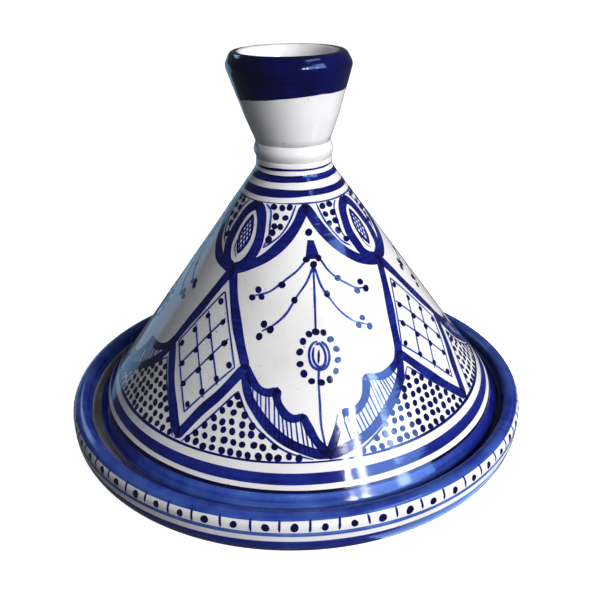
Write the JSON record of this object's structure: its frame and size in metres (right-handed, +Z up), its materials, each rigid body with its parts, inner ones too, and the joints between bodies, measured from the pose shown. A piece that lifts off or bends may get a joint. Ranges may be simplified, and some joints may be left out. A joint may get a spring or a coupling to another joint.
{
  "type": "tagine pot",
  "caption": "Glazed ceramic tagine: shallow footed serving dish with a conical lid topped by a flared cup knob, hand painted in cobalt blue on white.",
  "frame": {"origin": "centre of the plane that the foot ring stands on", "axes": "+Z up along the axis of the dish and the lid"},
  "size_m": [0.301, 0.301, 0.2595],
  "materials": {
    "white_glaze": "glossy tin-white glaze over earthenware",
    "cobalt_glaze": "glossy glaze over brushed cobalt blue"
  },
  "bodies": {
    "dish": {"base_dish": "cobalt_glaze"},
    "lid": {"lid_cone": "white_glaze", "neck_collar": "white_glaze", "knob_cup": "white_glaze"}
  },
  "joints": [
    {"name": "lid_lift", "type": "slide", "parent": "dish", "child": "lid", "axis": [0, 0, 1], "range_m": [0, 0.12]}
  ]
}
